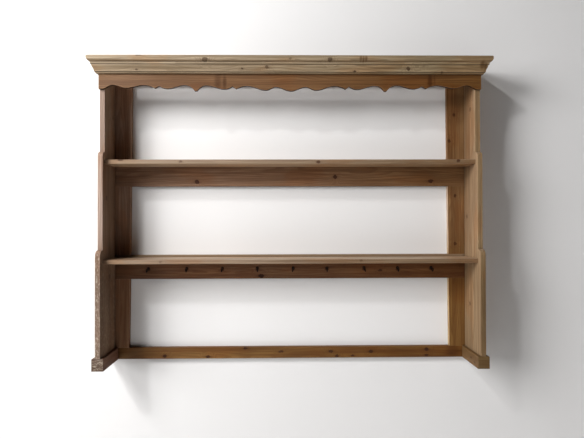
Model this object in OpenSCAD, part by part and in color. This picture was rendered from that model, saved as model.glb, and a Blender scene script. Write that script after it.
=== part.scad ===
// Wall plate rack in old pine: two stepped side boards, two shelves, an open
// frame behind, a scalloped frieze under a mitred cornice, mitred foot
// mouldings and nine wrought cup hooks on the rail below the lower shelf.
// Millimetres. X runs along the rack, the front faces -Y and the feet stand on
// Z = 0. The modules build against a wall at Y = 0; placed() then moves every
// piece back so that the origin lies under the middle of the rack's depth.

/* [Overall] */
// clear width between the two side boards
inner_w = 1290; // [1200:10:1400]
// height from the feet to the top of the cornice
rack_h = 1069; // [1045:1:1115]

/* [Side boards] */
// thickness of a side board
side_t = 17; // [15:0.5:20]
// depth of the top section of a side board
top_depth = 118; // [112:1:124]
// how far the middle section steps forward
mid_step = 18; // [12:1:22]
// how far the foot section steps forward
foot_step = 23; // [16:1:28]
// height of the shoulder over the upper shelf
mid_shoulder_z = 744; // [738:1:752]
// height of the shoulder over the lower shelf
foot_shoulder_z = 406; // [400:1:416]
// flat of a shoulder before its rounded nose starts
shoulder_flat = 2.5; // [1.5:0.5:4]
// how far the side boards stop below the cornice top
side_top_gap = 5; // [2:1:8]

/* [Shelves] */
// thickness of the upper shelf
upper_shelf_t = 15; // [13:0.5:17]
// thickness of the lower shelf
lower_shelf_t = 15; // [13:0.5:17]
// height of the top face of the upper shelf
upper_shelf_z = 719; // [712:1:723]
// height of the top face of the lower shelf
lower_shelf_z = 373; // [366:1:380]
// depth of the housings cut in the side boards
housing_d = 5; // [3:0.5:7]
// play of a shelf end in its housing
housing_fit = 0; // [0:0.05:0.2]
// radius worn on the front arrises of the shelves
shelf_arris_r = 1.5; // [1:0.25:2.5]

/* [Back frame] */
// thickness of rails and stiles
frame_t = 18; // [16:1:20]
// share of the thickness a rail keeps at a half-lap
lap_share = 0.5; // [0.4:0.05:0.6]
// height of the rail behind the frieze
top_rail_h = 52; // [44:1:54]
// how far the upper rail hangs below its shelf top
upper_rail_drop = 86; // [76:1:96]
// how far the lower rail hangs below its shelf top
lower_rail_drop = 80; // [74:1:88]
// how far both rails stand above the shelves as a plate stop
plate_stop_h = 8; // [4:1:11]
// height of the rail between the feet
bottom_rail_h = 41; // [36:1:46]
// width of the left stile at the top
left_stile_top_w = 62; // [57:1:68]
// width of the left stile at the foot
left_stile_foot_w = 49; // [45:1:54]
// width of the right stile at the top
right_stile_top_w = 65; // [61:1:70]
// width of the right stile at the foot
right_stile_foot_w = 58; // [54:1:61]

/* [Wall screws] */
// radius of a wall screw hole
screw_r = 2.5; // [2:0.25:3]
// radius of the countersink at the face of the rail
screw_head_r = 4.75; // [4:0.25:5.25]
// depth of the countersink
screw_head_d = 3; // [2:0.25:4]
// distance of a screw from the inner face of the nearer side board
screw_margin = 145; // [105:5:195]
// height of the lower row under the lower shelf's top face
low_screw_drop = 22; // [21:0.5:24]
// height of the upper row under the top of the side boards
high_screw_drop = 26; // [20:1:32]

/* [Frieze] */
// thickness of the frieze board
frieze_t = 11; // [9:0.5:14]
// how far the deepest pendant hangs below the cornice
frieze_drop = 58; // [53:1:63]

/* [Cornice] */
// height of the cornice moulding
cornice_h = 57; // [54:1:60]
// how far the cornice stands out from the frieze
cornice_out = 31; // [29:1:34]
// radius that rounds the top of the nose
nose_r = 5; // [3:0.5:6]
// height of the nose, from the top of the cornice to the ovolo
nose_h = 9; // [7:0.5:10]
// radius of the ovolo
ovolo_r = 12.5; // [11:0.5:13.5]
// turn of the ovolo, in degrees
ovolo_turn = 75; // [70:1:78]
// step back over the fillet
fillet_in = 1; // [0.5:0.25:1.5]
// height of the fillet under the ovolo
fillet_h = 7; // [6:0.5:8]
// step back under the fillet
fillet_step = 3; // [2:0.5:3.5]
// how far the foot of the ogee stands out
ogee_foot_out = 11.5; // [10.5:0.5:12]
// how far the bead at the bottom stands out
bead_out = 8; // [7:0.5:9]
// radius of the bead
bead_r = 2.8; // [2.4:0.1:3.2]

/* [Foot mouldings] */
// height of the foot mouldings
foot_h = 42; // [36:1:45]
// thickness of the foot mouldings
foot_t = 11.5; // [9:0.5:13]
// how far the front foot moulding stands proud of the side board
foot_proud = 1.5; // [1:0.5:4]
// bevel along the top of the foot mouldings
foot_bevel = 1.5; // [0.5:0.5:3]

/* [Cup hooks] */
// distance of the outer hooks from the inner faces of the side boards
hook_margin = 123; // [100:1:160]
// height of the hook shanks under the lower shelf's top face
hook_drop = 41.5; // [38:0.5:46]
// radius of the hook wire
wire_r = 1.6; // [1.4:0.1:1.8]
// radius of the collar against the rail
collar_r = 5.5; // [4.5:0.25:6.5]
// radius of the collar's front face
collar_face_r = 4.5; // [3:0.25:4.5]
// thickness of the collar
collar_t = 2; // [1.5:0.25:3]
// length of the shank in the rail
shank_in = 11; // [8:1:13]
// play between shank and pilot hole
pilot_fit = 0.3; // [0.25:0.05:0.4]
// straight of the hook in front of the collar
hook_reach = 3; // [2:0.5:5]
// radius of the turn down behind the bowl
hook_turn_r = 4.5; // [4:0.25:5.5]
// radius of the bowl that carries the cup handle
bowl_r = 7.5; // [6.5:0.25:8.5]
// upright length of the hook's tip
tip_h = 2.5; // [1.5:0.5:4]
// radius of the ball on the tip
tip_ball_r = 2.2; // [2:0.1:2.5]

/* [Hidden] */
pine = [0.70, 0.52, 0.34];
pine_dark = [0.52, 0.34, 0.20];
pine_pale = [0.74, 0.62, 0.46];
iron = [0.16, 0.15, 0.15];
// overlap that keeps a cutting body clear of the face it cuts
eps = 1;
// segments of a turned part and of a small round
round_fn = 32;
wire_fn = 16;
// segments of one curve in the frieze, in a moulding and on an arris
scallop_steps = 6;
arc_steps = 8;
arris_steps = 4;

mid_depth = top_depth + mid_step;
foot_depth = mid_depth + foot_step;
half_in = inner_w / 2;
half_out = half_in + side_t;
side_h = rack_h - side_top_gap;
cornice_z = rack_h - cornice_h;
frieze_front = top_depth + frieze_t;
rack_depth = max(foot_depth + foot_proud, frieze_front + cornice_out);
lap_t = frame_t * lap_share;

// The front foot moulding is let into the side board: depth of its back
foot_seat = foot_depth + foot_proud - foot_t;

top_rail_z = side_h - top_rail_h;
upper_rail_z = upper_shelf_z - upper_rail_drop;
upper_rail_h = upper_rail_drop + plate_stop_h;
lower_rail_z = lower_shelf_z - lower_rail_drop;
lower_rail_h = lower_rail_drop + plate_stop_h;

// The old hooks were put in by eye: how far each one sits off its even place,
// and its turn about its own shank
hook_shift = [-2, 8, 8, 6, 8, 2, 9, 3, -3];
hook_lean = [9, -7, 4, -12, 13, 3, -8, 6, -4];
hook_count = len(hook_lean);

hook_z = lower_shelf_z - hook_drop;
hook_pitch = (inner_w - 2 * hook_margin) / (hook_count - 1);
low_screw_z = lower_shelf_z - low_screw_drop;
high_screw_z = side_h - high_screw_drop;

// Scallops of half the frieze, from the middle outwards. Each row gives the
// place along the half width, the drop as a share of the deepest pendant and
// how sharply the saw turned there: 0 for a curve, 1 for a point, and more for
// a point with hollow flanks.
scallops = [
    [0.000, 0.99, 0], [0.078, 0.75, 0], [0.131, 0.94, 0], [0.228, 0.69, 0],
    [0.286, 0.87, 1], [0.305, 0.71, 1], [0.346, 0.89, 0], [0.440, 0.67, 0],
    [0.490, 1.00, 1.4], [0.501, 1.00, 1.4], [0.556, 0.65, 0], [0.642, 0.86, 0],
    [0.687, 0.70, 1], [0.709, 0.84, 1], [0.767, 0.65, 0], [0.859, 0.82, 0],
    [0.927, 0.64, 0], [0.984, 0.88, 0]
];

// Node to draw, or "all"

// Moves a piece from the wall at Y = 0 into the frame of the whole rack
module placed() {
    translate([0, rack_depth / 2, 0])
        children();
}

// Box between two opposite corners
module block(lo, hi) {
    translate(lo)
        cube([hi[0] - lo[0], hi[1] - lo[1], hi[2] - lo[2]]);
}

// Outline drawn in X and Z, made solid from the plane y_front back to y_back
module board(y_front, y_back) {
    translate([0, y_back, 0])
        rotate([90, 0, 0])
            linear_extrude(height = y_back - y_front)
                children();
}

// Profile drawn outwards and upwards, run along X with its outside at -Y
module run_front(length) {
    rotate([90, 0, 90])
        linear_extrude(height = length, center = true)
            mirror([1, 0])
                children();
}

// Profile drawn outwards and upwards, run from the wall forward, outside +X
module run_side(length) {
    rotate([90, 0, 0])
        linear_extrude(height = length)
            children();
}

// Points of an arc about c from angle a to angle b
function arc(c, r, a, b, n) = [
    for (i = [0 : n])
        let (t = a + (b - a) * i / n)
            [c[0] + r * cos(t), c[1] + r * sin(t)]
];

// A list of points without its first one
function tail(points) = [for (i = [1 : len(points) - 1]) points[i]];

// ---- side boards ------------------------------------------------------

// Rounded nose of a shoulder, in depth and height: flat, then a quarter round
function nose(depth, step, z) =
    let (r = step - shoulder_flat)
        arc([depth + shoulder_flat, z - r], r, 90, 0, arc_steps);

module side_outline() {
    polygon(concat(
        [[0, 0], [0, side_h], [top_depth, side_h], [top_depth, mid_shoulder_z]],
        nose(top_depth, mid_step, mid_shoulder_z),
        [[mid_depth, foot_shoulder_z]],
        nose(mid_depth, foot_step, foot_shoulder_z),
        [[foot_depth, foot_h], [foot_seat, foot_h], [foot_seat, 0]]
    ));
}

// Housing for one shelf, in the right-hand board
module housing(depth, top_z, thick) {
    block(
        [half_in - eps, -depth - housing_fit, top_z - thick - housing_fit],
        [half_in + housing_d + housing_fit, -frame_t, top_z + housing_fit]
    );
}

module right_board() {
    difference() {
        translate([half_out, 0, 0])
            mirror([1, 0, 0])
                rotate([90, 0, 90])
                    linear_extrude(height = side_t)
                        mirror([1, 0])
                            side_outline();
        housing(top_depth, upper_shelf_z, upper_shelf_t);
        housing(mid_depth, lower_shelf_z, lower_shelf_t);
    }
}

module right_side() {
    color(pine) placed()
        right_board();
}

module left_side() {
    color(pine) placed()
        mirror([1, 0, 0])
            right_board();
}

// ---- shelves ----------------------------------------------------------

// Section of a shelf, depth and height, with worn front arrises
module shelf_section(depth, top_z, thick) {
    r = shelf_arris_r;
    polygon(concat(
        [[frame_t, top_z - thick], [frame_t, top_z]],
        arc([depth - r, top_z - r], r, 90, 0, arris_steps),
        arc([depth - r, top_z - thick + r], r, 0, -90, arris_steps)
    ));
}

module shelf(depth, top_z, thick) {
    color(pine_pale) placed()
        run_front(inner_w + 2 * housing_d)
            shelf_section(depth, top_z, thick);
}

module upper_shelf() {
    shelf(top_depth, upper_shelf_z, upper_shelf_t);
}

module lower_shelf() {
    shelf(mid_depth, lower_shelf_z, lower_shelf_t);
}

// ---- back frame -------------------------------------------------------

// Stiles taper towards the feet; side is 1 at the right and -1 at the left
module stile_outline(side) {
    top_w = side > 0 ? right_stile_top_w : left_stile_top_w;
    foot_w = side > 0 ? right_stile_foot_w : left_stile_foot_w;
    polygon([
        [side * half_in, 0],
        [side * half_in, side_h],
        [side * (half_in - top_w), side_h],
        [side * (half_in - foot_w), 0]
    ]);
}

module rail_block(z, height, y_back) {
    block([-half_in, -frame_t, z], [half_in, y_back, z + height]);
}

module all_rail_blocks(y_back) {
    rail_block(top_rail_z, top_rail_h, y_back);
    rail_block(upper_rail_z, upper_rail_h, y_back);
    rail_block(lower_rail_z, lower_rail_h, y_back);
    rail_block(0, bottom_rail_h, y_back);
}

// A stile keeps its rear half where a rail crosses it
module stile(side) {
    color(pine_dark) placed()
        difference() {
            board(-frame_t, 0)
                stile_outline(side);
            all_rail_blocks(lap_t - frame_t);
        }
}

module left_stile() {
    stile(-1);
}

module right_stile() {
    stile(1);
}

// A rail keeps its front half where it crosses the stiles
module rail(z, height) {
    difference() {
        rail_block(z, height, 0);
        board(lap_t - frame_t, eps) {
            stile_outline(-1);
            stile_outline(1);
        }
    }
}

// Countersunk hole through a rail, drilled from the front
module wall_screw_hole(x, z) {
    translate([x, 0, z])
        rotate([90, 0, 0]) {
            translate([0, 0, -eps])
                cylinder(h = frame_t + 2 * eps, r = screw_r, $fn = round_fn);
            translate([0, 0, frame_t - screw_head_d])
                cylinder(h = screw_head_d, r1 = screw_r, r2 = screw_head_r, $fn = round_fn);
        }
}

module wall_screw_row(z) {
    for (side = [-1, 1])
        wall_screw_hole(side * (half_in - screw_margin), z);
}

module top_rail() {
    color(pine_dark) placed()
        difference() {
            rail(top_rail_z, top_rail_h);
            wall_screw_row(high_screw_z);
        }
}

module upper_rail() {
    color(pine_dark) placed()
        rail(upper_rail_z, upper_rail_h);
}

module lower_rail() {
    color(pine_dark) placed()
        difference() {
            rail(lower_rail_z, lower_rail_h);
            wall_screw_row(low_screw_z);
            for (i = [0 : hook_count - 1])
                hook_pilot(i);
        }
}

module bottom_rail() {
    color(pine_dark) placed()
        rail(0, bottom_rail_h);
}

// ---- frieze -----------------------------------------------------------

// Easing from one scallop row to the next: flat where the curve turns over,
// steeper towards a point the more sharply the saw turned there
function ease(t, p0, p1) =
    p0 == 0 && p1 == 0 ? (1 - cos(180 * t)) / 2 :
    p0 == 0 ? pow(t, 1 + p1) :
    p1 == 0 ? 1 - pow(1 - t, 1 + p0) : t;

function scallop_run(a, b) =
    let (n = a[2] > 0 && b[2] > 0 ? 1 : scallop_steps)
        [for (i = [0 : n - 1])
            [
                half_out * (a[0] + (b[0] - a[0]) * i / n),
                cornice_z - frieze_drop * (a[1] + (b[1] - a[1]) * ease(i / n, a[2], b[2]))
            ]];

last_scallop = len(scallops) - 1;

half_scallops = concat(
    [for (k = [0 : last_scallop - 1])
        each scallop_run(scallops[k], scallops[k + 1])],
    [
        [half_out * scallops[last_scallop][0], cornice_z - frieze_drop * scallops[last_scallop][1]],
        [half_out, cornice_z - frieze_drop * scallops[last_scallop][1]]
    ]
);

last_point = len(half_scallops) - 1;

module frieze_outline() {
    polygon(concat(
        [[half_out, side_h], [-half_out, side_h]],
        [for (i = [last_point : -1 : 1]) [-half_scallops[i][0], half_scallops[i][1]]],
        half_scallops
    ));
}

module frieze() {
    color(pine) placed()
        board(-frieze_front, -top_depth)
            frieze_outline();
}

// ---- cornice ----------------------------------------------------------

// Foot of the ovolo and the two ends of the ogee, outwards and upwards
ovolo_c = [cornice_out - ovolo_r, rack_h - nose_h];
ovolo_foot = ovolo_c + ovolo_r * [cos(ovolo_turn), -sin(ovolo_turn)];
fillet_out = ovolo_foot[0] - fillet_in;
fillet_foot_z = ovolo_foot[1] - fillet_h;
ogee_top = [fillet_out - fillet_step, fillet_foot_z];
ogee_foot = [ogee_foot_out, cornice_z + 2 * bead_r];

// The ogee is upright at both ends: round above, hollow below, one radius
ogee_half = (ogee_top - ogee_foot) / 2;
ogee_turn = 2 * atan2(ogee_half[0], ogee_half[1]);
ogee_r = ogee_half[1] / sin(ogee_turn);

module cornice_section() {
    polygon(concat(
        [[0, cornice_z], [0, rack_h]],
        arc([cornice_out - nose_r, rack_h - nose_r], nose_r, 90, 0, arris_steps),
        arc(ovolo_c, ovolo_r, 0, -ovolo_turn, arc_steps),
        [[fillet_out, ovolo_foot[1]], [fillet_out, fillet_foot_z]],
        arc(ogee_top - [ogee_r, 0], ogee_r, 0, -ogee_turn, arc_steps),
        tail(arc(ogee_foot + [ogee_r, 0], ogee_r, 180 - ogee_turn, 180, arc_steps)),
        arc([bead_out - bead_r, cornice_z + bead_r], bead_r, 90, -90, arc_steps)
    ));
}

// Plan of a mitred front piece: length on the inside, thickness outwards
module mitre_front_plan(half_len, thick) {
    polygon([
        [-half_len, 0],
        [half_len, 0],
        [half_len + thick, -thick],
        [-half_len - thick, -thick]
    ]);
}

// Plan of a return, outside at +X, mitred at its front end
module mitre_side_plan(length, thick) {
    polygon([
        [0, 0],
        [thick, 0],
        [thick, -length - thick],
        [0, -length]
    ]);
}

module cornice_front() {
    color(pine_pale) placed()
        translate([0, -frieze_front, 0])
            intersection() {
                run_front(2 * (half_out + cornice_out))
                    cornice_section();
                translate([0, 0, cornice_z - eps])
                    linear_extrude(height = cornice_h + 2 * eps)
                        mitre_front_plan(half_out, cornice_out);
            }
}

module cornice_return() {
    translate([half_out, 0, 0])
        intersection() {
            run_side(frieze_front + cornice_out)
                cornice_section();
            translate([0, 0, cornice_z - eps])
                linear_extrude(height = cornice_h + 2 * eps)
                    mitre_side_plan(frieze_front, cornice_out);
        }
}

module cornice_right() {
    color(pine_pale) placed()
        cornice_return();
}

module cornice_left() {
    color(pine_pale) placed()
        mirror([1, 0, 0])
            cornice_return();
}

// ---- foot mouldings ---------------------------------------------------

module foot_section() {
    polygon([
        [0, 0],
        [foot_t, 0],
        [foot_t, foot_h - foot_bevel],
        [foot_t - foot_bevel, foot_h],
        [0, foot_h]
    ]);
}

// Strip along a side board, its outside at +X, from y_back forward
module foot_strip(y_back) {
    length = foot_seat + y_back;
    translate([0, y_back, 0])
        intersection() {
            run_side(length + foot_t)
                foot_section();
            translate([0, 0, -eps])
                linear_extrude(height = foot_h + 2 * eps)
                    mitre_side_plan(length, foot_t);
        }
}

module foot_front() {
    translate([half_in + side_t / 2, -foot_seat, 0])
        intersection() {
            run_front(side_t + 2 * foot_t)
                foot_section();
            translate([0, 0, -eps])
                linear_extrude(height = foot_h + 2 * eps)
                    mitre_front_plan(side_t / 2, foot_t);
        }
}

module foot_outer() {
    translate([half_out, 0, 0])
        foot_strip(0);
}

// The inner strip stops at the face of the bottom rail
module foot_inner() {
    translate([half_in, 0, 0])
        mirror([1, 0, 0])
            foot_strip(-frame_t);
}

module right_foot_outer() {
    color(pine) placed()
        foot_outer();
}

module right_foot_inner() {
    color(pine) placed()
        foot_inner();
}

module right_foot_front() {
    color(pine) placed()
        foot_front();
}

module left_foot_outer() {
    color(pine) placed()
        mirror([1, 0, 0])
            foot_outer();
}

module left_foot_inner() {
    color(pine) placed()
        mirror([1, 0, 0])
            foot_inner();
}

module left_foot_front() {
    color(pine) placed()
        mirror([1, 0, 0])
            foot_front();
}

// ---- cup hooks --------------------------------------------------------

function hook_x(i) = (i - (hook_count - 1) / 2) * hook_pitch + hook_shift[i];

// Pilot hole of hook i in the lower rail, a little longer than the shank
module hook_pilot(i) {
    translate([hook_x(i), -frame_t - eps, hook_z])
        rotate([-90, 0, 0])
            cylinder(h = shank_in + 2 * eps, r = wire_r + pilot_fit, $fn = round_fn);
}

// Wire bent in the plane of Y and Z about the X axis, from angle a over turn
module wire_bend(r, a, turn) {
    rotate([0, 90, 0])
        rotate([0, 0, a])
            rotate_extrude(angle = turn, $fn = round_fn)
                translate([r, 0])
                    circle(r = wire_r, $fn = wire_fn);
}

// Hook with the face of the rail at Y = 0 and its shank on the Y axis
module hook_body() {
    y_turn = -collar_t - hook_reach;
    y_down = y_turn - hook_turn_r;
    y_tip = y_down - 2 * bowl_r;
    rotate([-90, 0, 0])
        translate([0, 0, -collar_t - hook_reach])
            cylinder(h = collar_t + hook_reach + shank_in, r = wire_r, $fn = wire_fn);
    rotate([90, 0, 0])
        cylinder(h = collar_t, r1 = collar_r, r2 = collar_face_r, $fn = round_fn);
    translate([0, y_turn, -hook_turn_r])
        wire_bend(hook_turn_r, 180, 90);
    translate([0, y_down - bowl_r, -hook_turn_r])
        wire_bend(bowl_r, -90, 180);
    translate([0, y_tip, -hook_turn_r])
        cylinder(h = tip_h, r = wire_r, $fn = wire_fn);
    translate([0, y_tip, tip_h - hook_turn_r])
        sphere(r = tip_ball_r, $fn = wire_fn);
}

module hook(i) {
    color(iron) placed()
        translate([hook_x(i), -frame_t, hook_z])
            rotate([0, hook_lean[i], 0])
                hook_body();
}

module hook_1() {
    hook(0);
}

module hook_2() {
    hook(1);
}

module hook_3() {
    hook(2);
}

module hook_4() {
    hook(3);
}

module hook_5() {
    hook(4);
}

module hook_6() {
    hook(5);
}

module hook_7() {
    hook(6);
}

module hook_8() {
    hook(7);
}

module hook_9() {
    hook(8);
}

// ---- drawing ----------------------------------------------------------

left_side();
right_side();
upper_shelf();
lower_shelf();
left_stile();
right_stile();
top_rail();
upper_rail();
lower_rail();
bottom_rail();
frieze();
cornice_front();
cornice_left();
cornice_right();
left_foot_inner();
left_foot_outer();
left_foot_front();
right_foot_inner();
right_foot_outer();
right_foot_front();
hook_1();
hook_2();
hook_3();
hook_4();
hook_5();
hook_6();
hook_7();
hook_8();
hook_9();
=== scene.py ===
"""Looks of the wall plate rack: aged pine, black iron hooks, camera and light.

Metres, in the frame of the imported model: X along the rack, -Y to the front,
Z up from the feet. Colours are linear.
"""
import math

import bpy
from mathutils import Matrix, Vector


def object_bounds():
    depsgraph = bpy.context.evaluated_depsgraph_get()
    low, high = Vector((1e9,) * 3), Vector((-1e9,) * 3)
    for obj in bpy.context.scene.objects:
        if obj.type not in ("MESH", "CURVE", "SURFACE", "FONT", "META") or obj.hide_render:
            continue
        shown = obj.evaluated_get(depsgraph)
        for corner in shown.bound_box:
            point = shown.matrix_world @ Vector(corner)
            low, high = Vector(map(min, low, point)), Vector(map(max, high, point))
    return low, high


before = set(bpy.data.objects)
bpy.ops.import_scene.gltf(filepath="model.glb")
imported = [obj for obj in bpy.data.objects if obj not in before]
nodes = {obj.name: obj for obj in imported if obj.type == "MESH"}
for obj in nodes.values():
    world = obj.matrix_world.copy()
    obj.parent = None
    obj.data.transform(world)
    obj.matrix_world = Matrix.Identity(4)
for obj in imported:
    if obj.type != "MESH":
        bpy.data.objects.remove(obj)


def corners():
    """The shown object's box as two plain lists."""
    low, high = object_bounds()
    return [list(low), list(high)]


cad_box = corners()
wall_y = cad_box[1][1]

# ---- camera ------------------------------------------------------------------
# The photograph was taken square on with a phone's wide lens, from just left
# of the middle and about half a metre over the feet.

FRAME_W = 584
FOCAL_PX = 460
SENSOR_W = 36.0
CAMERA_OFF = Vector((-0.021, -1.717, 0.502))  # from the wall, under the middle
CAMERA_YAW = -0.0148
CAMERA_PITCH = 0.0060
CAMERA_ROLL = 0.0025


def make_camera():
    data = bpy.data.cameras.new("camera")
    data.sensor_width = SENSOR_W
    data.lens = SENSOR_W * FOCAL_PX / FRAME_W
    camera = bpy.data.objects.new("camera", data)
    bpy.context.collection.objects.link(camera)
    turn = (
        Matrix.Rotation(CAMERA_YAW, 3, "Z")
        @ Matrix.Rotation(CAMERA_PITCH, 3, "X")
        @ Matrix.Rotation(CAMERA_ROLL, 3, "Y")
        @ Matrix.Rotation(math.radians(90), 3, "X")
    )
    place = CAMERA_OFF + Vector((0, wall_y, 0))
    camera.matrix_world = Matrix.Translation(place) @ turn.to_4x4()
    bpy.context.scene.camera = camera


# ---- node helper -------------------------------------------------------------


class Tree:
    """Short names for the shader nodes that the materials below are made of."""

    def __init__(self, name):
        self.material = bpy.data.materials.new(name)
        self.material.use_nodes = True
        self.tree = self.material.node_tree
        self.tree.nodes.clear()
        self.output = self.tree.nodes.new("ShaderNodeOutputMaterial")

    def new(self, kind, **settings):
        made = self.tree.nodes.new("ShaderNode" + kind)
        for key, value in settings.items():
            setattr(made, key, value)
        return made

    def feed(self, socket, value):
        """Links a socket to another, or sets it to a number or a tuple."""
        if isinstance(value, bpy.types.NodeSocket):
            self.tree.links.new(value, socket)
        elif isinstance(value, tuple) and len(value) == 3 and len(socket.default_value) == 4:
            socket.default_value = (*value, 1.0)
        else:
            socket.default_value = value

    def math(self, operation, a, b=0.0):
        made = self.new("Math", operation=operation)
        self.feed(made.inputs[0], a)
        self.feed(made.inputs[1], b)
        return made.outputs[0]

    def product(self, first, *others):
        for other in others:
            first = self.math("MULTIPLY", first, other)
        return first

    def vector(self, operation, a, b=(0.0, 0.0, 0.0)):
        made = self.new("VectorMath", operation=operation)
        self.feed(made.inputs[0], a)
        self.feed(made.inputs[1], b)
        return made.outputs["Value" if operation in ("LENGTH", "DOT_PRODUCT") else "Vector"]

    def split(self, vector):
        made = self.new("SeparateXYZ")
        self.feed(made.inputs[0], vector)
        return made.outputs

    def join(self, x, y, z):
        made = self.new("CombineXYZ")
        for socket, value in zip(made.inputs, (x, y, z)):
            self.feed(socket, value)
        return made.outputs[0]

    def noise(self, vector, stretch, detail, rough, colour=False):
        """Noise with its own scale along each axis of the vector."""
        made = self.new("TexNoise")
        self.feed(made.inputs["Vector"], self.vector("MULTIPLY", vector, stretch))
        made.inputs["Scale"].default_value = 1.0
        made.inputs["Detail"].default_value = detail
        made.inputs["Roughness"].default_value = rough
        return made.outputs["Color" if colour else "Fac"]

    def step(self, value, low, high, to_low=0.0, to_high=1.0):
        """Smooth step of a value from low to high."""
        made = self.new("MapRange", interpolation_type="SMOOTHSTEP")
        for socket, given in zip(made.inputs, (value, low, high, to_low, to_high)):
            self.feed(socket, given)
        return made.outputs[0]

    def mix(self, share, a, b, blend="MIX"):
        made = self.new("Mix", data_type="RGBA", blend_type=blend)
        self.feed(made.inputs["Factor"], share)
        self.feed(made.inputs[6], a)
        self.feed(made.inputs[7], b)
        return made.outputs[2]

    def bump(self, height, strength, distance):
        made = self.new("Bump")
        made.inputs["Strength"].default_value = strength
        made.inputs["Distance"].default_value = distance
        self.feed(made.inputs["Height"], height)
        return made.outputs[0]


def times(colour, factor):
    """A colour times a number or times another colour."""
    factors = factor if isinstance(factor, tuple) else (factor,) * 3
    return tuple(c * f for c, f in zip(colour, factors))


# ---- pine --------------------------------------------------------------------

# Which of the rack's axes run along the grain, across the board's face and
# through the board
GRAIN_ORDER = {"X": (0, 2, 1), "Z": (2, 0, 1), "Z side": (2, 1, 0), "Y": (1, 2, 0)}

# The noises of the wood: scale along the grain, across the face and through the
# board, in cycles a metre, then detail and roughness
NOISES = {
    "fibre": ((18.0, 800.0, 800.0), 2.0, 0.6),
    "vein": ((5.0, 260.0, 260.0), 2.0, 0.6),
    "streak": ((2.4, 110.0, 110.0), 3.0, 0.6),
    "band": ((1.1, 38.0, 38.0), 2.0, 0.5),
    "cloud": ((3.0, 8.0, 8.0), 4.0, 0.6),
    "flush": ((5.0, 16.0, 16.0), 2.0, 0.5),
    "loose": ((3.0, 60.0, 60.0), 2.0, 0.5),
    "wander": ((1.7, 7.0, 7.0), 2.0, 0.5),
    "ragged": ((150.0, 150.0, 150.0), 2.0, 0.6),
    "torn": ((9.0, 90.0, 90.0), 2.0, 0.5),
    "fray": ((70.0, 220.0, 220.0), 3.0, 0.65),
    "dent": ((30.0, 45.0, 45.0), 2.0, 0.5),
}

# The part of a face's normal, along Z, Z, X and Y, from where it begins to look
# up, down, left or forward to where it does so in full
UP_FACE = (0.5, 0.9)
DOWN_FACE = (-0.35, -0.85)
LEFT_FACE = (-0.6, -0.9)
FRONT_FACE = (-0.5, -0.9)

RING = 0.0042  # width of a growth ring
RING_BEND = 0.014  # added to the rings' radius at a knot
RING_LOOSE = 1.4  # how far the rings stray, in rings
LINES = 0.6  # strength of the late wood's lines

# The heart of the tree: aside of the board's middle at most, behind it on
# average, more or less than that, and how far it wanders along the board
HEART_ASIDE = 0.018
HEART_DEEP = 0.052
HEART_SPREAD = 0.014
HEART_WANDER = (0.0, 0.030, 0.060)

KNOT_RAGGED = (0.009, 0.009, 0.0)  # how far a knot's outline strays
TRAIL_LONG = 3.5  # a knot's trail, in half lengths
TRAIL_WIDE = 1.1  # and in half widths of the knot
KNOT_FADE = 0.012  # depth over which knots end

CORNER = 0.014  # reach of the dirt and painted shade in a corner
SMUDGE_FRAY = 1.6  # how far the veins fray a smudge and a painted shadow alike, in half widths

# Heights in the wood's relief, against each other
LINE_HEIGHT = 0.5
FIBRE_HEIGHT = 0.6
KNOT_HEIGHT = 0.8
DENT_DEPTH = 1.2
HOLE_DEPTH = 2.5

# Colours that don't depend on the piece
DUST = (0.270, 0.195, 0.122)
FRAYED = (0.46, 0.40, 0.31)

# Factors of the wood's own colour
PALE_STREAK = (1.30, 1.28, 1.25)
FLUSH = (0.98, 0.82, 0.68)
FRONT_LATE = (0.62, 0.56, 0.50)
# also the factor of the painted shadows listed with the smudges
SMUDGE = (0.50, 0.42, 0.36)
CROWN = (1.25, 1.30, 1.37)  # the cornice above its quirk
UNDERSIDE = (1.0, 0.9, 0.8)  # painted shade of faces that look down, times the look's own factor

# Factors of the late wood's colour in and beside a knot
KNOT_HEART = (0.36, 0.24, 0.20)
KNOT_RING = (0.18, 0.11, 0.10)
KNOT_RIM = (0.16, 0.13, 0.12)
KNOT_TRAIL = (0.60, 0.52, 0.46)

RUBBED = 1.15  # factor of the pale wood on a rubbed arris, worn and partly a painted highlight
CORNER_DIRT = 0.30  # factors of the patina in a corner, dirt and painted shade
QUIRK_DIRT = 0.45  # and in a quirk, where dirt and painted shade lie under the fillet's step
WORM_HOLE = 0.12  # factor of the late wood in a worm hole

# What a look holds. It always has
#   grain, seed              the way of the grain and the draw of the noises
#   early, late, patina      the pale wood, the late wood's lines, wax and dirt
# and it may change these:
PLAIN_LOOK = dict(
    knots=(), smudges=(),    # rows as described at LOOKS
    streaks=0.6, clouds=0.45,  # strength of the streaks and of the wax
    front=None,    # the pale wood on faces that look forward, worn by hands
    drift=None,    # factor at the right end of the rack, weaker on faces that look up: mostly painted shade of the light falling off to the right, partly the wood's own tone
    low=None,      # factor in the lowest bay: painted shade of the light falling off downward, and dirtier wood
    deep=None,     # painted shade: factor at the back of the upper bays
    under=0.35,    # painted shade: factor of faces that look down
    sawn=None,     # painted light: factor of faces that look left, below the upper shelf
    scuff=None,    # height under which the wood is rough
    dusty=None,    # height over which dust lies on the wood
    quirk=None,    # height of a dark line in the moulding, dirt and painted shade under its step, paler above it
    reach=None,    # place in Y behind which the knots end
    grime=0.45,    # strength of the dirt and painted shade where pieces meet
    rub=(0.0035, 0.55),  # width and strength of the rubbed arrises, worn and partly painted highlight
)


def in_grain(point, grain):
    """A place in the rack's frame as (along the grain, across the board's
    face, through the board)."""
    return tuple(point[i] for i in GRAIN_ORDER[grain])


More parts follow.
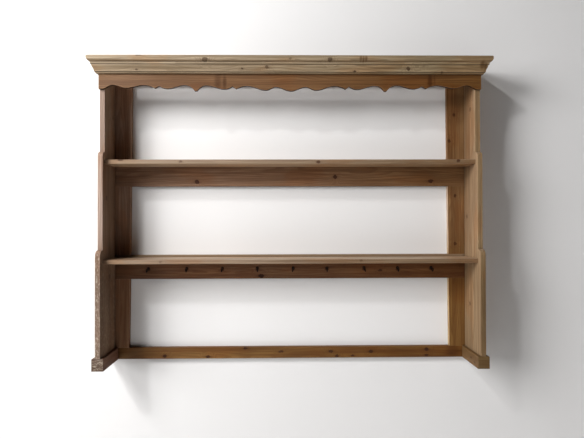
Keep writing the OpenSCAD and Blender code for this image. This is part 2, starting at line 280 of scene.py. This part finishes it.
class Board:
    """The material of one board while it is built up: its nodes, its look and
    the places, normals and noises that the layers share."""

    def __init__(self, name, middle, look):
        t = Tree(name)
        self.tree = t
        self.look = {**PLAIN_LOOK, **look}
        self.here = t.split(t.new("TexCoord").outputs["Object"])
        self.place = t.join(*in_grain(self.here, look["grain"]))
        seed = look["seed"]
        self.moved = t.vector("ADD", self.place, (0.37 * seed, 0.011 * seed, 0.017 * seed))
        self.normal = t.new("NewGeometry").outputs["Normal"]
        self.faces = t.split(self.normal)
        self.fibre = self.noise("fibre")
        self.vein = self.noise("vein")
        self.streak = self.noise("streak")
        self.cloud = self.noise("cloud")
        self.grow_rings(middle)
        line = t.math("MULTIPLY", self.line, LINE_HEIGHT)
        self.height = t.math("ADD", line, t.math("MULTIPLY", self.fibre, FIBRE_HEIGHT))

    def noise(self, kind, colour=False):
        return self.tree.noise(self.moved, *NOISES[kind], colour=colour)

    def paint(self, share, colour):
        self.colour = self.tree.mix(share, self.colour, colour)

    def tint(self, share, factor):
        self.colour = self.tree.mix(share, self.colour, factor, "MULTIPLY")

    def grow_rings(self, middle):
        """The lines of late wood, bent round the knots."""
        t = self.tree
        radius = self.ring_radius(middle)
        if self.look["knots"]:
            self.spread_knots()
            radius = t.math("ADD", radius, t.step(self.knot_far, 4.5, 0.6, 0.0, RING_BEND))
        loose = t.math("MULTIPLY", self.noise("loose"), RING_LOOSE)
        phase = t.math("ADD", t.math("DIVIDE", radius, RING), loose)
        ring_at = t.math("FRACT", phase)
        self.line = t.product(t.step(ring_at, 0.30, 0.88), t.step(ring_at, 1.0, 0.93))

    def ring_radius(self, middle):
        """Distance from the heart of the tree, which lies behind the middle of
        the board and wanders, so that flat-sawn arches show."""
        t = self.tree
        seed = self.look["seed"]
        wander = t.vector("SUBTRACT", self.noise("wander", colour=True), (0.5, 0.5, 0.5))
        wander = t.vector("MULTIPLY", wander, HEART_WANDER)
        off = HEART_ASIDE * math.sin(seed * 1.7)
        deep = HEART_DEEP + HEART_SPREAD * math.cos(seed * 2.3)
        heart = (0.0, middle[1] + off, middle[2] - deep)
        _, across, through = t.split(t.vector("SUBTRACT", t.vector("ADD", self.place, wander), heart))
        return t.vector("LENGTH", t.join(0.0, across, through))

    def spread_knots(self):
        """Distance to the nearest knot, 1 at its rim, how dark it is there, and
        the dark grain that trails from it."""
        t = self.tree
        ragged = t.vector("SUBTRACT", self.noise("ragged", colour=True), (0.5, 0.5, 0.5))
        ragged = t.vector("MULTIPLY", ragged, KNOT_RAGGED)
        along, across, through = t.split(t.vector("ADD", self.place, ragged))
        flat_place = t.join(along, across, 0.0)
        self.knot_far = None
        for at, beside, half_long, half_wide, strength in self.look["knots"]:
            off = t.vector("SUBTRACT", flat_place, (at, beside, 0.0))
            rim = t.vector("MULTIPLY", off, (1 / half_long, 1 / half_wide, 0.0))
            tail_size = (1 / (TRAIL_LONG * half_long), 1 / (TRAIL_WIDE * half_wide), 0.0)
            tail = t.vector("MULTIPLY", off, tail_size)
            far = t.vector("LENGTH", rim)
            dark = t.step(far, 1.20, 0.80, 0.0, strength)
            trail = t.step(t.vector("LENGTH", tail), 1.0, 0.1, 0.0, strength)
            if self.knot_far is None:
                self.knot_far, self.ink, self.trails = far, dark, trail
            else:
                self.knot_far = t.math("MINIMUM", self.knot_far, far)
                self.ink = t.math("MAXIMUM", self.ink, dark)
                self.trails = t.math("MAXIMUM", self.trails, trail)
        reach = self.look["reach"]
        if reach:
            left = t.step(through, reach, reach + KNOT_FADE, 1.0, 0.0)
            self.ink = t.math("MULTIPLY", self.ink, left)
            self.trails = t.math("MULTIPLY", self.trails, left)

    def lay_wood(self):
        """Early and late wood, streaks along the grain and clouds of old wax."""
        t, look = self.tree, self.look
        early, late = look["early"], look["late"]
        if look["front"]:
            to_front = t.step(self.faces[1], *FRONT_FACE)
            early = t.mix(to_front, early, look["front"])
            late = t.mix(to_front, late, times(look["front"], FRONT_LATE))
        self.colour = t.mix(t.math("MULTIPLY", self.line, LINES), early, late)
        for noise in (self.noise("band"), self.streak, self.vein):
            self.paint(t.step(noise, 0.49, 0.64, 0.0, look["streaks"]), late)
            self.tint(t.step(noise, 0.48, 0.36, 0.0, 0.30), PALE_STREAK)
        self.paint(t.step(self.cloud, 0.42, 0.70, 0.0, look["clouds"]), look["patina"])
        self.paint(t.step(self.fibre, 0.35, 0.75, 0.0, 0.22), look["patina"])
        self.tint(t.step(self.noise("flush"), 0.48, 0.62, 0.0, 0.7), FLUSH)

    def tone(self):
        """Slow changes of colour over the whole piece; much of it is painted light and shade, as marked
        below.
        """
        t, look = self.tree, self.look
        x, y, z = self.here
        # Painted shade, with some of the wood's own tone: darker and warmer towards the right, less so on
        # faces that look up
        if look["drift"]:
            level = t.step(self.faces[2], *UP_FACE, 1.0, 0.4)
            self.tint(t.product(t.step(x, -0.35, 0.65), level), look["drift"])
        # Painted shade, with dirt: darker in the lowest bay, where less light falls
        if look["low"]:
            self.tint(t.step(z, 0.50, 0.30), look["low"])
        # Painted shade at the back of the upper bays, near the wall
        if look["deep"]:
            self.tint(t.product(t.step(y, -0.02, 0.035), t.step(z, 0.35, 0.85)), look["deep"])
        # Painted light: faces that look left, towards the windows, made paler below the upper shelf
        if look["sawn"]:
            torn = t.step(self.noise("torn"), 0.36, 0.52, 0.35, 1.0)
            to_left = t.step(self.faces[0], *LEFT_FACE)
            self.tint(t.product(to_left, t.step(z, 0.74, 0.70), torn), look["sawn"])
        if look["dusty"]:
            self.paint(t.step(z, look["dusty"], look["dusty"] + 0.001, 0.0, 0.85), DUST)

    def scuff(self):
        """Rough wood with dark and pale splinters, most of all in front."""
        t = self.tree
        top = self.look["scuff"]
        if not top:
            return
        fray = self.noise("fray")
        to_front = t.step(self.faces[1], *FRONT_FACE, 0.35, 1.0)
        rough = t.math("MULTIPLY", to_front, t.step(self.here[2], top, top - 0.02))
        self.paint(t.product(t.step(fray, 0.47, 0.60), rough, 0.80), self.look["patina"])
        self.paint(t.product(t.step(fray, 0.47, 0.36), rough, 0.70), FRAYED)

    def wear(self):
        """Rubbed arrises, partly painted highlight; painted shade on faces that look down; dirt and
        painted shade where pieces meet.
        """
        t, look = self.tree, self.look
        width, strength = look["rub"]
        bevel = t.new("Bevel", samples=4)
        bevel.inputs["Radius"].default_value = width
        turned = t.vector("DOT_PRODUCT", bevel.outputs[0], self.normal)
        patchy = t.step(self.streak, 0.3, 0.6, 0.3, 1.0)
        # Rubbed arrises paler: worn wood, and partly a painted highlight where the arris catches the
        # light
        edge = t.product(t.step(turned, 0.985, 0.86), patchy, strength)
        self.paint(edge, times(look["front"] or look["early"], RUBBED))
        # Painted shade on faces that look down
        self.tint(t.step(self.faces[2], *DOWN_FACE), times(UNDERSIDE, look["under"]))
        # Dirt and painted shade: ambient occlusion darkens corners and joints
        shut = t.new("AmbientOcclusion", samples=6)
        shut.inputs["Distance"].default_value = CORNER
        dirt = t.step(shut.outputs["AO"], 0.78, 0.30, 0.0, look["grime"])
        self.paint(dirt, times(look["patina"], CORNER_DIRT))

    def line_quirk(self):
        """A dark line in the moulding, dirt and painted shade under the fillet's step, and paler colour
        above it.
        """
        t = self.tree
        quirk = self.look["quirk"]
        if not quirk:
            return
        z = self.here[2]
        self.tint(t.step(z, quirk, quirk + 0.003), CROWN)
        off = t.math("ABSOLUTE", t.math("SUBTRACT", z, quirk))
        dirt = t.step(off, 0.0020, 0.0006, 0.0, 0.55)
        self.paint(dirt, times(self.look["patina"], QUIRK_DIRT))

    def smudge(self):
        """Dark patches frayed along the veins: smudges, and painted shadows of the hooks and of the left
        board.
        """
        t = self.tree
        for along, across, half_long, half_wide, dark in self.look["smudges"]:
            flat_place = t.join(*t.split(self.place)[:2], 0.0)
            off = t.vector("SUBTRACT", flat_place, (along, across, 0.0))
            off = t.vector("LENGTH", t.vector("MULTIPLY", off, (1 / half_long, 1 / half_wide, 0.0)))
            fray = t.math("MULTIPLY", t.math("SUBTRACT", self.vein, 0.5), SMUDGE_FRAY)
            off = t.math("ADD", off, fray)
            self.tint(t.step(off, 1.3, 0.3, 0.0, dark), SMUDGE)

    def draw_knots(self):
        """Knots with a dark rim and rings of their own."""
        t = self.tree
        late = self.look["late"]
        if not self.look["knots"]:
            return
        rings = t.step(t.math("FRACT", t.math("MULTIPLY", self.knot_far, 3.5)), 0.3, 0.8)
        heart = t.mix(rings, times(late, KNOT_HEART), times(late, KNOT_RING))
        outside = t.step(self.knot_far, 1.15, 0.95)
        rim = t.product(outside, t.step(self.knot_far, 0.60, 0.90), self.ink)
        self.paint(t.math("MULTIPLY", self.trails, 0.75), times(late, KNOT_TRAIL))
        self.paint(self.ink, heart)
        self.paint(t.math("MULTIPLY", rim, 0.8), times(late, KNOT_RIM))
        self.height = t.math("ADD", self.height, t.math("MULTIPLY", self.ink, KNOT_HEIGHT))

    def pit(self):
        """Dents and a few worm holes."""
        t = self.tree
        cells = t.new("TexVoronoi", feature="F1")
        t.feed(cells.inputs["Vector"], t.vector("MULTIPLY", self.moved, (110.0, 150.0, 150.0)))
        cells.inputs["Scale"].default_value = 0.2
        picked = t.step(t.split(cells.outputs["Color"])[0], 0.84, 0.86)
        hole = t.product(t.step(cells.outputs["Distance"], 0.050, 0.025), picked)
        self.paint(t.math("MULTIPLY", hole, 0.85), times(self.look["late"], WORM_HOLE))
        dent = t.step(self.noise("dent"), 0.66, 0.74)
        self.height = t.math("SUBTRACT", self.height, t.math("MULTIPLY", dent, DENT_DEPTH))
        self.height = t.math("SUBTRACT", self.height, t.math("MULTIPLY", hole, HOLE_DEPTH))

    def surface(self):
        """Waxed wood, duller where the wax is thin."""
        t = self.tree
        shader = t.new("BsdfPrincipled")
        t.feed(shader.inputs["Base Color"], self.colour)
        t.feed(shader.inputs["Roughness"], t.step(self.cloud, 0.3, 0.7, 0.62, 0.44))
        t.feed(shader.inputs["Normal"], t.bump(self.height, 0.55, 0.0006))
        shader.inputs["Specular IOR Level"].default_value = 0.16
        t.feed(t.output.inputs["Surface"], shader.outputs[0])
        return t.material


def pine(name, middle, look):
    """Old flat-sawn pine."""
    board = Board(name, middle, look)
    board.lay_wood()
    board.tone()
    board.scuff()
    board.wear()
    board.line_quirk()
    board.smudge()
    board.draw_knots()
    board.pit()
    return board.surface()


# ---- iron --------------------------------------------------------------------

BEND_Z = 0.3255  # under this height a hook is black, a painted shade on the dark iron; above it the paler shank is a painted highlight
SHANK_IRON = (0.014, 0.010, 0.008)
SHANK_RUST = (0.045, 0.024, 0.014)
BEND_IRON = (0.004, 0.003, 0.003)
BEND_RUST = (0.022, 0.015, 0.012)


def iron(name):
    """Old iron, rusty in places: the shanks paler, a painted highlight, and the bends black, a painted
    shade on the dark iron.
    """
    t = Tree(name)
    place = t.new("TexCoord").outputs["Object"]
    height = t.split(place)[2]
    fleck = t.noise(place, (450.0, 450.0, 450.0), 4.0, 0.65)
    cloud = t.noise(place, (160.0, 160.0, 160.0), 2.0, 0.5)
    shank = t.mix(t.step(cloud, 0.40, 0.65), SHANK_IRON, SHANK_RUST)
    bend = t.mix(t.step(fleck, 0.52, 0.75, 0.0, 0.6), BEND_IRON, BEND_RUST)
    colour = t.mix(t.step(height, BEND_Z, BEND_Z + 0.005), bend, shank)
    shader = t.new("BsdfPrincipled")
    shader.inputs["Specular IOR Level"].default_value = 0.05
    t.feed(shader.inputs["Base Color"], colour)
    t.feed(shader.inputs["Roughness"], t.step(fleck, 0.3, 0.7, 0.46, 0.72))
    t.feed(shader.inputs["Normal"], t.bump(fleck, 0.5, 0.0003))
    t.feed(t.output.inputs["Surface"], shader.outputs[0])
    return t.material


# ---- looks of the pieces -----------------------------------------------------

SIDE_FRONT = -0.0785  # just behind the front of the side boards' foot section
LOWER_SHELF_TOP = 0.3735  # half a millimetre over it

LEFT_SIDE = dict(
    grain="Z side", early=(0.323, 0.216, 0.148), late=(0.202, 0.122, 0.071), patina=(0.166, 0.109, 0.070),
    front=(0.370, 0.275, 0.228), low=(0.70, 0.66, 0.62), scuff=0.405, rub=(0.006, 0.45))
RIGHT_SIDE = dict(
    grain="Z side", early=(0.338, 0.232, 0.142), late=(0.211, 0.129, 0.070), patina=(0.173, 0.111, 0.063),
    front=(0.329, 0.224, 0.121), low=(0.80, 0.80, 0.76), deep=(0.62, 0.55, 0.48), rub=(0.006, 0.45))
SHELF = dict(
    grain="X", early=(0.546, 0.425, 0.323), late=(0.321, 0.232, 0.152), patina=(0.289, 0.211, 0.144),
    front=(0.332, 0.242, 0.170), drift=(0.74, 0.68, 0.57), under=0.90, clouds=0.3, grime=0.12)
FRAME = dict(
    early=(0.215, 0.115, 0.055), late=(0.125, 0.056, 0.024), patina=(0.100, 0.048, 0.022))
FRIEZE = dict(
    grain="X", early=(0.200, 0.107, 0.050), late=(0.109, 0.050, 0.022), patina=(0.114, 0.056, 0.025),
    drift=(0.76, 0.66, 0.42), under=0.25, clouds=0.3, grime=0.3, rub=(0.006, 0.7))
CORNICE = dict(
    early=(0.348, 0.264, 0.174), late=(0.186, 0.132, 0.078), patina=(0.195, 0.141, 0.086),
    under=0.62, clouds=0.2, streaks=0.68, grime=0.30, quirk=1.0409)
FOOT = dict(
    early=(0.240, 0.172, 0.130), late=(0.150, 0.096, 0.064), patina=(0.115, 0.076, 0.050))
CORNICE_DRIFT = (0.84, 0.82, 0.72)


def tinted(palette, factor, **more):
    """A palette with all its colours times a factor, and further settings."""
    colours = ("early", "late", "patina", "front")
    tint = {key: times(value, factor) if key in colours else value for key, value in palette.items()}
    return {**tint, **more}


# Knots, and smudges and painted shadows, as (place along the grain, place across the
# board's face, half length, half width, darkness).
LOOKS = {
    "left_side": dict(LEFT_SIDE, seed=1.0, knots=[
        (0.310, 0.010, 0.007, 0.006, 0.4), (0.585, -0.020, 0.008, 0.007, 0.4),
        (0.880, 0.040, 0.006, 0.005, 0.4)]),
    "right_side": dict(RIGHT_SIDE, seed=2.3, knots=[
        (0.205, 0.015, 0.007, 0.006, 0.6), (0.520, 0.040, 0.006, 0.005, 0.8),
        (0.905, 0.005, 0.008, 0.007, 0.5)],
        smudges=[(0.175, SIDE_FRONT, 0.230, 0.006, 0.5)]),
    "upper_shelf": dict(SHELF, seed=3.1, reach=-0.032, knots=[
        (-0.590, 0.718, 0.009, 0.004, 1.0), (-0.383, 0.711, 0.005, 0.004, 0.7),
        (0.095, 0.711, 0.006, 0.005, 1.0), (0.585, 0.714, 0.006, 0.005, 1.0)]),
    "lower_shelf": dict(SHELF, seed=4.7, knots=[
        (-0.448, 0.366, 0.004, 0.003, 0.5), (0.240, 0.368, 0.005, 0.003, 0.6)],
        # The patch at the shelf's left end is a painted shadow of the left board
        smudges=[(-0.600, LOWER_SHELF_TOP, 0.140, 0.002, 0.8)]),
    "left_stile": tinted(
        FRAME, (2.00, 2.45, 3.60), grain="Z", seed=5.9, low=(0.77, 0.65, 0.51)),
    "right_stile": tinted(
        FRAME, (1.13, 1.18, 1.06), grain="Z", seed=6.4, low=(0.90, 0.83, 0.58), sawn=(2.4, 3.4, 6.0),
        knots=[
            (0.898, 0.607, 0.006, 0.005, 0.7), (0.801, 0.588, 0.006, 0.005, 0.6),
            (0.597, 0.610, 0.006, 0.005, 0.7), (0.420, 0.609, 0.006, 0.005, 0.6)]),
    "top_rail": tinted(
        FRAME, (1.1, 1.1, 1.1), grain="X", seed=7.5, knots=[(-0.200, 1.030, 0.007, 0.006, 0.7)]),
    "upper_rail": tinted(
        FRAME, (1.31, 1.46, 1.89), grain="X", seed=8.6, drift=(0.90, 0.82, 0.58), knots=[
            (-0.346, 0.649, 0.007, 0.008, 0.9), (0.164, 0.668, 0.006, 0.008, 0.9),
            (0.519, 0.652, 0.009, 0.006, 0.9)]),
    "lower_rail": tinted(
        FRAME, (0.91, 0.92, 1.05), grain="X", seed=9.8, drift=(0.99, 0.80, 0.52),
        dusty=LOWER_SHELF_TOP,
        knots=[(-0.110, 0.303, 0.010, 0.007, 1.0), (0.330, 0.322, 0.006, 0.005, 0.7)]),
    "bottom_rail": tinted(
        FRAME, (0.96, 0.91, 0.59), grain="X", seed=10.9, drift=(0.84, 0.77, 0.60), knots=[
            (-0.464, 0.010, 0.007, 0.006, 1.0), (-0.306, 0.007, 0.008, 0.005, 1.0),
            (-0.168, 0.036, 0.007, 0.005, 1.0), (-0.038, 0.024, 0.008, 0.004, 0.8),
            (0.146, 0.024, 0.007, 0.006, 1.0), (0.169, 0.007, 0.006, 0.005, 0.9),
            (0.227, 0.007, 0.006, 0.004, 0.9), (0.295, 0.022, 0.007, 0.006, 0.9),
            (0.501, 0.029, 0.007, 0.006, 1.0), (0.501, 0.007, 0.006, 0.004, 0.9)],
        smudges=[(0.600, 0.020, 0.030, 0.030, 0.7)]),
    "frieze": dict(FRIEZE, seed=12.1, smudges=[
        (-0.252, 0.985, 0.014, 0.034, 0.75), (-0.229, 0.982, 0.008, 0.030, 0.90),
        (0.483, 0.990, 0.009, 0.036, 1.00), (0.499, 0.990, 0.004, 0.034, 0.50)]),
    "cornice_front": dict(
        CORNICE, grain="X", drift=CORNICE_DRIFT, seed=13.9,
        knots=[
            (-0.292, 1.053, 0.009, 0.007, 0.6), (-0.528, 1.024, 0.004, 0.003, 0.7),
            (-0.515, 1.067, 0.008, 0.002, 0.7), (-0.167, 1.027, 0.004, 0.003, 0.8),
            (-0.082, 1.032, 0.006, 0.005, 0.6), (-0.075, 1.010, 0.005, 0.003, 0.6),
            (-0.003, 1.057, 0.004, 0.003, 0.4), (0.133, 1.054, 0.007, 0.006, 0.6),
            (0.219, 1.019, 0.004, 0.003, 0.8), (0.404, 1.028, 0.006, 0.005, 0.8),
            (0.457, 1.035, 0.004, 0.003, 0.4), (0.522, 1.016, 0.004, 0.003, 0.6)],
        smudges=[
            (0.238, 1.057, 0.005, 0.010, 1.0), (0.247, 1.055, 0.004, 0.012, 1.0),
            (0.256, 1.057, 0.005, 0.010, 1.0), (0.659, 1.040, 0.009, 0.015, 1.0),
            (0.671, 1.034, 0.006, 0.014, 1.0), (-0.522, 1.056, 0.020, 0.002, 0.5),
            (0.330, 1.030, 0.060, 0.002, 0.6)]),
    "cornice_left": dict(CORNICE, grain="Y", seed=14.2, knots=[(-0.010, 1.052, 0.006, 0.005, 0.7)]),
    "cornice_right": dict(CORNICE, grain="Y", drift=CORNICE_DRIFT, seed=15.6, knots=[
        (-0.078, 1.030, 0.012, 0.015, 0.7), (0.030, 1.056, 0.006, 0.005, 0.7)]),
    "left_foot_inner": tinted(FOOT, (0.72, 0.53, 0.45), grain="Y", seed=16.4),
    "left_foot_outer": tinted(
        FOOT, (0.90, 0.86, 0.84), grain="Y", seed=17.1, knots=[(0.010, 0.020, 0.005, 0.004, 0.7)]),
    "left_foot_front": tinted(FOOT, (0.70, 0.66, 0.67), grain="X", seed=18.8, scuff=0.100),
    "right_foot_inner": tinted(FOOT, (0.67, 0.55, 0.31), grain="Y", seed=19.2, knots=[
        (-0.020, 0.022, 0.006, 0.004, 0.5), (-0.050, 0.014, 0.006, 0.004, 0.5)]),
    "right_foot_outer": tinted(FOOT, (0.68, 0.60, 0.42), grain="Y", seed=20.5),
    "right_foot_front": tinted(FOOT, (0.79, 0.74, 0.46), grain="X", seed=21.7),
}

# ---- dressing the pieces -----------------------------------------------------

ARRIS = 0.0009
WORN_ARRIS = 0.0018
WELD_REACH = 0.00001
ARRIS_ANGLE = math.radians(38)

# The photograph's dark spots round the hooks are wider than the modelled wire, so
# the rail is darkened there
# Each spot is a painted shadow of its hook on the rail
MARK_Z = 0.3265
MARK_HALF_LONG = 0.0075
MARK_HALF_WIDE = 0.0060
MARK_COATS = (1.0, 0.9)


def piece_middle(piece, grain):
    """Middle of a piece's own box, in the order of its grain."""
    box = [Vector(corner) for corner in piece.bound_box]
    return in_grain(sum(box, Vector()) / len(box), grain)


def hook_names():
    return [node for node in sorted(nodes) if node.startswith("hook_")]


def hook_marks():
    """The painted shadows of the hooks on the lower rail: one for each hook and coat."""
    marks = []
    for node in hook_names():
        x = piece_middle(nodes[node], "X")[0]
        marks += [(x, MARK_Z, MARK_HALF_LONG, MARK_HALF_WIDE, dark) for dark in MARK_COATS]
    return marks


def dress(node, material):
    piece = nodes[node]
    piece.data.materials.clear()
    piece.data.materials.append(material)


def soften(node, width):
    """Breaks the sharp arrises of a sawn board."""
    piece = nodes[node]
    weld = piece.modifiers.new("weld", "WELD")
    weld.merge_threshold = WELD_REACH
    bevel = piece.modifiers.new("arris", "BEVEL")
    bevel.width = width
    bevel.segments = 2
    bevel.limit_method = "ANGLE"
    bevel.angle_limit = ARRIS_ANGLE
    bevel.harden_normals = True


def dress_all():
    for node, look in LOOKS.items():
        if node == "lower_rail":
            look = dict(look, smudges=hook_marks())
        dress(node, pine("pine_" + node, piece_middle(nodes[node], look["grain"]), look))
        soften(node, WORN_ARRIS if node.endswith("_side") else ARRIS)
    black = iron("iron")
    for node in hook_names():
        dress(node, black)


# ---- stage -------------------------------------------------------------------

WALL_INSET = 0.001
WALL_COLOUR = (0.84, 0.83, 0.825)
FLOOR_COLOUR = (0.80, 0.79, 0.78)
FLOOR_Z = -0.85
STAGE_HALF = 4.0

# Each lamp as its place, width, height, power and aim. The two windows stand at
# the left of the room, and the small ceiling lamp beside them draws the
# shelves' shadows on the wall. The fills show the right side and the back; the
# boards and the wall keep their light off the front.
RACK_MIDDLE = (0.0, 0.0, 0.55)
LAMPS = {
    "window_near": ((-1.72, -1.30, 1.60), 0.8, 0.8, 42.0, RACK_MIDDLE),
    "window_far": ((-5.20, -3.00, 1.50), 2.6, 2.6, 240.0, RACK_MIDDLE),
    "ceiling": ((-2.60, -2.70, 3.50), 0.25, 0.25, 50.0, RACK_MIDDLE),
    "side_fill": ((3.20, 0.05, 0.75), 0.08, 1.2, 50.0, (0.66, 0.05, 0.55)),
    "back_fill": ((1.60, 2.80, 1.60), 1.5, 1.5, 70.0, RACK_MIDDLE),
}

# The world's colour, and its strength as light and as seen by the camera
WORLD_COLOUR = (0.95, 0.97, 1.0)
WORLD_LIGHT = 0.015
WORLD_SEEN = 0.92


def flat(name, points):
    mesh = bpy.data.meshes.new(name)
    mesh.from_pydata(points, [], [(0, 1, 2, 3)])
    made = bpy.data.objects.new(name, mesh)
    bpy.context.collection.objects.link(made)
    return made


def pale(name, colour):
    """A matt pale surface: its nodes and its shader's output."""
    t = Tree(name)
    shader = t.new("BsdfPrincipled")
    shader.inputs["Base Color"].default_value = (*colour, 1.0)
    shader.inputs["Roughness"].default_value = 0.9
    shader.inputs["Specular IOR Level"].default_value = 0.1
    return t, shader.outputs[0]


def make_floor():
    s = STAGE_HALF
    y = wall_y + s
    floor = flat("floor", [(-s, -s, FLOOR_Z), (s, -s, FLOOR_Z), (s, y, FLOOR_Z), (-s, y, FLOOR_Z)])
    t, surface = pale("floor_pale", FLOOR_COLOUR)
    t.feed(t.output.inputs["Surface"], surface)
    floor.data.materials.append(t.material)


def make_wall():
    """A pale wall that the rack hangs on. It is one-sided: seen or lit from
    behind it isn't there, so that the back of the rack shows too. The rack's
    back stands just through it."""
    s = STAGE_HALF
    y = wall_y - WALL_INSET
    wall = flat("wall", [(-s, y, FLOOR_Z), (s, y, FLOOR_Z), (s, y, s), (-s, y, s)])
    t, surface = pale("wall_pale", WALL_COLOUR)
    clear = t.new("BsdfTransparent")
    pick = t.new("MixShader")
    t.feed(pick.inputs[0], t.new("NewGeometry").outputs["Backfacing"])
    t.feed(pick.inputs[1], surface)
    t.feed(pick.inputs[2], clear.outputs[0])
    t.feed(t.output.inputs["Surface"], pick.outputs[0])
    wall.data.materials.append(t.material)


def make_lamp(name, place, width, height, power, target):
    data = bpy.data.lights.new(name, "AREA")
    data.shape = "RECTANGLE"
    data.size = width
    data.size_y = height
    data.energy = power
    lamp = bpy.data.objects.new(name, data)
    bpy.context.collection.objects.link(lamp)
    lamp.location = place
    lamp.rotation_mode = "QUATERNION"
    lamp.rotation_quaternion = (Vector(target) - Vector(place)).to_track_quat("-Z", "Y")


def make_world():
    world = bpy.data.worlds.new("world")
    bpy.context.scene.world = world
    world.use_nodes = True
    tree = world.node_tree
    tree.nodes.clear()
    out = tree.nodes.new("ShaderNodeOutputWorld")
    back = tree.nodes.new("ShaderNodeBackground")
    back.inputs["Color"].default_value = (*WORLD_COLOUR, 1.0)
    path = tree.nodes.new("ShaderNodeLightPath")
    strength = tree.nodes.new("ShaderNodeMapRange")
    strength.inputs["To Min"].default_value = WORLD_LIGHT
    strength.inputs["To Max"].default_value = WORLD_SEEN
    tree.links.new(path.outputs["Is Camera Ray"], strength.inputs["Value"])
    tree.links.new(strength.outputs[0], back.inputs["Strength"])
    tree.links.new(back.outputs[0], out.inputs["Surface"])


def make_stage():
    make_floor()
    make_wall()
    make_world()
    for name, lamp in LAMPS.items():
        make_lamp(name, *lamp)
    bpy.context.scene.view_settings.view_transform = "Standard"


# ---- making ------------------------------------------------------------------

make_camera()
dress_all()
make_stage()
